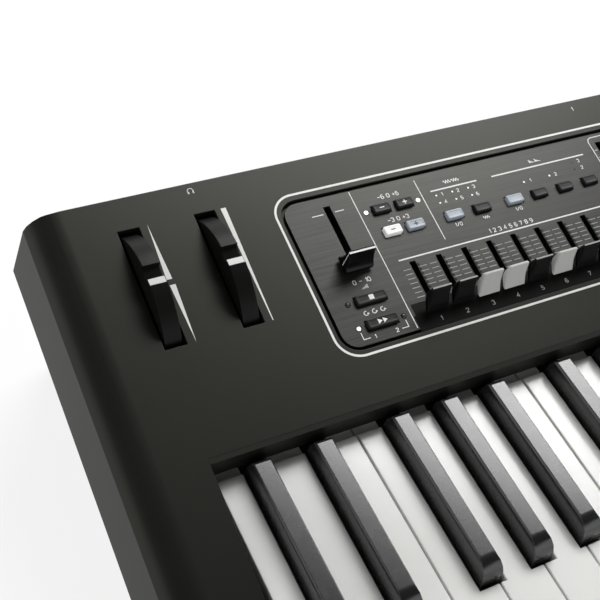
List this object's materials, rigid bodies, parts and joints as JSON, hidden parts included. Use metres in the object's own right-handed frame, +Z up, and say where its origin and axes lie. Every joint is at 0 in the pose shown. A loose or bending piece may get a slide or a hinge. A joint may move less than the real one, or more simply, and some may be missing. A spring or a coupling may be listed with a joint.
{
  "type": "stage keyboard",
  "caption": "Full-size stage keyboard with a sloping dark case, piano-width keys, two wheels, faders, drawbars and lit buttons on a brushed panel.",
  "frame": {"origin": "on the floor under the middle of the case", "axes": "+X along the keys towards the high notes, +Y from the player to the rear, +Z up"},
  "size_m": [0.943, 0.302, 0.1142],
  "materials": {
    "case_black": "satin moulded black",
    "tray_black": "fine-textured black",
    "brushed_plate": "dark brushed along X",
    "bed_metal": "plain folded sheet",
    "board_green": "circuit board",
    "jack_black": "moulded black",
    "bracket_metal": "plain folded sheet",
    "glass_dark": "dark clear window",
    "foot_rubber": "matt rubber",
    "key_white": "glossy white",
    "key_black": "glossy black",
    "wheel_rubber": "soft black with a white centre stripe",
    "cap_black": "black",
    "drawbar_white": "white with soft edges",
    "button_dark": "satin dark",
    "button_pale": "pale translucent, lit from behind"
  },
  "bodies": {
    "case": {"top_case": "case_black", "bottom_case": "tray_black", "control_panel": "brushed_plate", "key_chassis": "bed_metal", "control_board": "board_green", "jack_plate": "jack_black", "wheel_bracket": "bracket_metal", "display_window": "glass_dark", "foot_front_left": "foot_rubber", "foot_front_right": "foot_rubber", "foot_rear_left": "foot_rubber", "foot_rear_right": "foot_rubber"},
    "key_c1": {"key_c1": "key_white"},
    "key_d1": {"key_d1": "key_white"},
    "key_e1": {"key_e1": "key_white"},
    "key_f1": {"key_f1": "key_white"},
    "key_g1": {"key_g1": "key_white"},
    "key_a1": {"key_a1": "key_white"},
    "key_b1": {"key_b1": "key_white"},
    "key_c2": {"key_c2": "key_white"},
    "key_d2": {"key_d2": "key_white"},
    "white_keys_e2_to_b2": {"white_keys_e2_to_b2": "key_white"},
    "white_keys_c3_to_b3": {"white_keys_c3_to_b3": "key_white"},
    "white_keys_c4_to_c6": {"white_keys_c4_to_c6": "key_white"},
    "key_cs1": {"key_cs1": "key_black"},
    "key_ds1": {"key_ds1": "key_black"},
    "key_fs1": {"key_fs1": "key_black"},
    "key_gs1": {"key_gs1": "key_black"},
    "key_as1": {"key_as1": "key_black"},
    "key_cs2": {"key_cs2": "key_black"},
    "black_keys_ds2_to_as2": {"black_keys_ds2_to_as2": "key_black"},
    "black_keys_cs3_to_as3": {"black_keys_cs3_to_as3": "key_black"},
    "black_keys_cs4_to_as5": {"black_keys_cs4_to_as5": "key_black"},
    "pitch_wheel": {"pitch_wheel": "wheel_rubber"},
    "mod_wheel": {"mod_wheel": "wheel_rubber"},
    "master_fader": {"master_fader": "cap_black"},
    "level_fader": {"level_fader": "cap_black"},
    "drawbar_1": {"drawbar_1": "cap_black"},
    "drawbar_2": {"drawbar_2": "cap_black"},
    "drawbar_3": {"drawbar_3": "drawbar_white"},
    "drawbar_4": {"drawbar_4": "drawbar_white"},
    "drawbar_5": {"drawbar_5": "cap_black"},
    "drawbar_6": {"drawbar_6": "drawbar_white"},
    "drawbar_7": {"drawbar_7": "cap_black"},
    "drawbar_8": {"drawbar_8": "cap_black"},
    "drawbar_9": {"drawbar_9": "drawbar_white"},
    "transpose_down_button": {"transpose_down_button": "button_dark"},
    "transpose_up_button": {"transpose_up_button": "button_dark"},
    "octave_down_button": {"octave_down_button": "button_pale"},
    "octave_up_button": {"octave_up_button": "button_pale"},
    "stop_button": {"stop_button": "button_dark"},
    "speed_button": {"speed_button": "button_dark"},
    "vibrato_on_button": {"vibrato_on_button": "button_pale"},
    "vibrato_type_button": {"vibrato_type_button": "button_dark"},
    "percussion_on_button": {"percussion_on_button": "button_pale"},
    "percussion_soft_button": {"percussion_soft_button": "button_dark"},
    "percussion_fast_button": {"percussion_fast_button": "button_dark"},
    "percussion_harmonic_button": {"percussion_harmonic_button": "button_dark"},
    "preset_buttons": {"preset_buttons": "button_dark"},
    "data_dial": {"data_dial": "cap_black"}
  },
  "joints": [
    {"name": "key_c1_press", "type": "hinge", "parent": "case", "child": "key_c1", "pos_m": [-0.4125, 0.05, 0.052], "axis": [1, 0, 0], "range_deg": [0, 3.28], "stiffness_Nm_per_rad": 0.8, "springref_deg": -5.73},
    {"name": "key_d1_press", "type": "hinge", "parent": "case", "child": "key_d1", "pos_m": [-0.38893, 0.05, 0.052], "axis": [1, 0, 0], "range_deg": [0, 3.28], "stiffness_Nm_per_rad": 0.8, "springref_deg": -5.73},
    {"name": "key_e1_press", "type": "hinge", "parent": "case", "child": "key_e1", "pos_m": [-0.36536, 0.05, 0.052], "axis": [1, 0, 0], "range_deg": [0, 3.28], "stiffness_Nm_per_rad": 0.8, "springref_deg": -5.73},
    {"name": "key_f1_press", "type": "hinge", "parent": "case", "child": "key_f1", "pos_m": [-0.34179, 0.05, 0.052], "axis": [1, 0, 0], "range_deg": [0, 3.28], "stiffness_Nm_per_rad": 0.8, "springref_deg": -5.73},
    {"name": "key_g1_press", "type": "hinge", "parent": "case", "child": "key_g1", "pos_m": [-0.31821, 0.05, 0.052], "axis": [1, 0, 0], "range_deg": [0, 3.28], "stiffness_Nm_per_rad": 0.8, "springref_deg": -5.73},
    {"name": "key_a1_press", "type": "hinge", "parent": "case", "child": "key_a1", "pos_m": [-0.29464, 0.05, 0.052], "axis": [1, 0, 0], "range_deg": [0, 3.28], "stiffness_Nm_per_rad": 0.8, "springref_deg": -5.73},
    {"name": "key_b1_press", "type": "hinge", "parent": "case", "child": "key_b1", "pos_m": [-0.27107, 0.05, 0.052], "axis": [1, 0, 0], "range_deg": [0, 3.28], "stiffness_Nm_per_rad": 0.8, "springref_deg": -5.73},
    {"name": "key_c2_press", "type": "hinge", "parent": "case", "child": "key_c2", "pos_m": [-0.2475, 0.05, 0.052], "axis": [1, 0, 0], "range_deg": [0, 3.28], "stiffness_Nm_per_rad": 0.8, "springref_deg": -5.73},
    {"name": "key_d2_press", "type": "hinge", "parent": "case", "child": "key_d2", "pos_m": [-0.22393, 0.05, 0.052], "axis": [1, 0, 0], "range_deg": [0, 3.28], "stiffness_Nm_per_rad": 0.8, "springref_deg": -5.73},
    {"name": "white_keys_e2_to_b2_press", "type": "hinge", "parent": "case", "child": "white_keys_e2_to_b2", "pos_m": [-0.15321, 0.05, 0.052], "axis": [1, 0, 0], "range_deg": [0, 3.28], "stiffness_Nm_per_rad": 4, "springref_deg": -5.73},
    {"name": "white_keys_c3_to_b3_press", "type": "hinge", "parent": "case", "child": "white_keys_c3_to_b3", "pos_m": [-0.01179, 0.05, 0.052], "axis": [1, 0, 0], "range_deg": [0, 3.28], "stiffness_Nm_per_rad": 5.6, "springref_deg": -5.73},
    {"name": "white_keys_c4_to_c6_press", "type": "hinge", "parent": "case", "child": "white_keys_c4_to_c6", "pos_m": [0.2475, 0.05, 0.052], "axis": [1, 0, 0], "range_deg": [0, 3.28], "stiffness_Nm_per_rad": 12, "springref_deg": -5.73},
    {"name": "key_cs1_press", "type": "hinge", "parent": "case", "child": "key_cs1", "pos_m": [-0.40419, 0.06, 0.0589], "axis": [1, 0, 0], "range_deg": [0, 3.6], "stiffness_Nm_per_rad": 0.6, "springref_deg": -5.73},
    {"name": "key_ds1_press", "type": "hinge", "parent": "case", "child": "key_ds1", "pos_m": [-0.37369, 0.06, 0.0589], "axis": [1, 0, 0], "range_deg": [0, 3.6], "stiffness_Nm_per_rad": 0.6, "springref_deg": -5.73},
    {"name": "key_fs1_press", "type": "hinge", "parent": "case", "child": "key_fs1", "pos_m": [-0.33339, 0.06, 0.0589], "axis": [1, 0, 0], "range_deg": [0, 3.6], "stiffness_Nm_per_rad": 0.6, "springref_deg": -5.73},
    {"name": "key_gs1_press", "type": "hinge", "parent": "case", "child": "key_gs1", "pos_m": [-0.30643, 0.06, 0.0589], "axis": [1, 0, 0], "range_deg": [0, 3.6], "stiffness_Nm_per_rad": 0.6, "springref_deg": -5.73},
    {"name": "key_as1_press", "type": "hinge", "parent": "case", "child": "key_as1", "pos_m": [-0.27939, 0.06, 0.0589], "axis": [1, 0, 0], "range_deg": [0, 3.6], "stiffness_Nm_per_rad": 0.6, "springref_deg": -5.73},
    {"name": "key_cs2_press", "type": "hinge", "parent": "case", "child": "key_cs2", "pos_m": [-0.23919, 0.06, 0.0589], "axis": [1, 0, 0], "range_deg": [0, 3.6], "stiffness_Nm_per_rad": 0.6, "springref_deg": -5.73},
    {"name": "black_keys_ds2_to_as2_press", "type": "hinge", "parent": "case", "child": "black_keys_ds2_to_as2", "pos_m": [-0.16154, 0.06, 0.0589], "axis": [1, 0, 0], "range_deg": [0, 3.6], "stiffness_Nm_per_rad": 2.4, "springref_deg": -5.73},
    {"name": "black_keys_cs3_to_as3_press", "type": "hinge", "parent": "case", "child": "black_keys_cs3_to_as3", "pos_m": [-0.01179, 0.06, 0.0589], "axis": [1, 0, 0], "range_deg": [0, 3.6], "stiffness_Nm_per_rad": 3, "springref_deg": -5.73},
    {"name": "black_keys_cs4_to_as5_press", "type": "hinge", "parent": "case", "child": "black_keys_cs4_to_as5", "pos_m": [0.23571, 0.06, 0.0589], "axis": [1, 0, 0], "range_deg": [0, 3.6], "stiffness_Nm_per_rad": 6, "springref_deg": -5.73},
    {"name": "pitch_bend", "type": "hinge", "parent": "case", "child": "pitch_wheel", "pos_m": [-0.42107, 0.10675, 0.07195], "axis": [1, 0, 0], "range_deg": [-30, 30], "stiffness_Nm_per_rad": 0.05},
    {"name": "modulation", "type": "hinge", "parent": "case", "child": "mod_wheel", "pos_m": [-0.38261, 0.10675, 0.07195], "axis": [1, 0, 0], "range_deg": [-32, 32]},
    {"name": "master_fader_slide", "type": "slide", "parent": "case", "child": "master_fader", "axis": [0, 0.9789, 0.2045], "range_m": [0, 0.03]},
    {"name": "level_fader_slide", "type": "slide", "parent": "case", "child": "level_fader", "axis": [0, 0.9789, 0.2045], "range_m": [0, 0.03]},
    {"name": "drawbar_1_slide", "type": "slide", "parent": "case", "child": "drawbar_1", "axis": [0, 0.9789, 0.2045], "range_m": [0, 0.0211]},
    {"name": "drawbar_2_slide", "type": "slide", "parent": "case", "child": "drawbar_2", "axis": [0, 0.9789, 0.2045], "range_m": [0, 0.0211]},
    {"name": "drawbar_3_slide", "type": "slide", "parent": "case", "child": "drawbar_3", "axis": [0, 0.9789, 0.2045], "range_m": [0, 0.0211]},
    {"name": "drawbar_4_slide", "type": "slide", "parent": "case", "child": "drawbar_4", "axis": [0, 0.9789, 0.2045], "range_m": [0, 0.0211]},
    {"name": "drawbar_5_slide", "type": "slide", "parent": "case", "child": "drawbar_5", "axis": [0, 0.9789, 0.2045], "range_m": [0, 0.0211]},
    {"name": "drawbar_6_slide", "type": "slide", "parent": "case", "child": "drawbar_6", "axis": [0, 0.9789, 0.2045], "range_m": [0, 0.0211]},
    {"name": "drawbar_7_slide", "type": "slide", "parent": "case", "child": "drawbar_7", "axis": [0, 0.9789, 0.2045], "range_m": [0, 0.0211]},
    {"name": "drawbar_8_slide", "type": "slide", "parent": "case", "child": "drawbar_8", "axis": [0, 0.9789, 0.2045], "range_m": [0, 0.0211]},
    {"name": "drawbar_9_slide", "type": "slide", "parent": "case", "child": "drawbar_9", "axis": [0, 0.9789, 0.2045], "range_m": [0, 0.0211]},
    {"name": "transpose_down_press", "type": "slide", "parent": "case", "child": "transpose_down_button", "axis": [0, 0.2045, -0.9789], "range_m": [0, 0.0012], "stiffness_N_per_m": 500, "springref_m": -0.0006},
    {"name": "transpose_up_press", "type": "slide", "parent": "case", "child": "transpose_up_button", "axis": [0, 0.2045, -0.9789], "range_m": [0, 0.0012], "stiffness_N_per_m": 500, "springref_m": -0.0006},
    {"name": "octave_down_press", "type": "slide", "parent": "case", "child": "octave_down_button", "axis": [0, 0.2045, -0.9789], "range_m": [0, 0.0012], "stiffness_N_per_m": 500, "springref_m": -0.0006},
    {"name": "octave_up_press", "type": "slide", "parent": "case", "child": "octave_up_button", "axis": [0, 0.2045, -0.9789], "range_m": [0, 0.0012], "stiffness_N_per_m": 500, "springref_m": -0.0006},
    {"name": "stop_press", "type": "slide", "parent": "case", "child": "stop_button", "axis": [0, 0.2045, -0.9789], "range_m": [0, 0.0012], "stiffness_N_per_m": 500, "springref_m": -0.0006},
    {"name": "speed_press", "type": "slide", "parent": "case", "child": "speed_button", "axis": [0, 0.2045, -0.9789], "range_m": [0, 0.0012], "stiffness_N_per_m": 500, "springref_m": -0.0006},
    {"name": "vibrato_on_press", "type": "slide", "parent": "case", "child": "vibrato_on_button", "axis": [0, 0.2045, -0.9789], "range_m": [0, 0.0012], "stiffness_N_per_m": 500, "springref_m": -0.0006},
    {"name": "vibrato_type_press", "type": "slide", "parent": "case", "child": "vibrato_type_button", "axis": [0, 0.2045, -0.9789], "range_m": [0, 0.0012], "stiffness_N_per_m": 500, "springref_m": -0.0006},
    {"name": "percussion_on_press", "type": "slide", "parent": "case", "child": "percussion_on_button", "axis": [0, 0.2045, -0.9789], "range_m": [0, 0.0012], "stiffness_N_per_m": 500, "springref_m": -0.0006},
    {"name": "percussion_soft_press", "type": "slide", "parent": "case", "child": "percussion_soft_button", "axis": [0, 0.2045, -0.9789], "range_m": [0, 0.0012], "stiffness_N_per_m": 500, "springref_m": -0.0006},
    {"name": "percussion_fast_press", "type": "slide", "parent": "case", "child": "percussion_fast_button", "axis": [0, 0.2045, -0.9789], "range_m": [0, 0.0012], "stiffness_N_per_m": 500, "springref_m": -0.0006},
    {"name": "percussion_harmonic_press", "type": "slide", "parent": "case", "child": "percussion_harmonic_button", "axis": [0, 0.2045, -0.9789], "range_m": [0, 0.0012], "stiffness_N_per_m": 500, "springref_m": -0.0006},
    {"name": "preset_press", "type": "slide", "parent": "case", "child": "preset_buttons", "axis": [0, 0.2045, -0.9789], "range_m": [0, 0.0012], "stiffness_N_per_m": 2000, "springref_m": -0.0006},
    {"name": "data_dial_turn", "type": "hinge", "parent": "case", "child": "data_dial", "pos_m": [0.174, 0.10389, 0.09741], "axis": [0, -0.2045, 0.9789], "continuous": true}
  ]
}
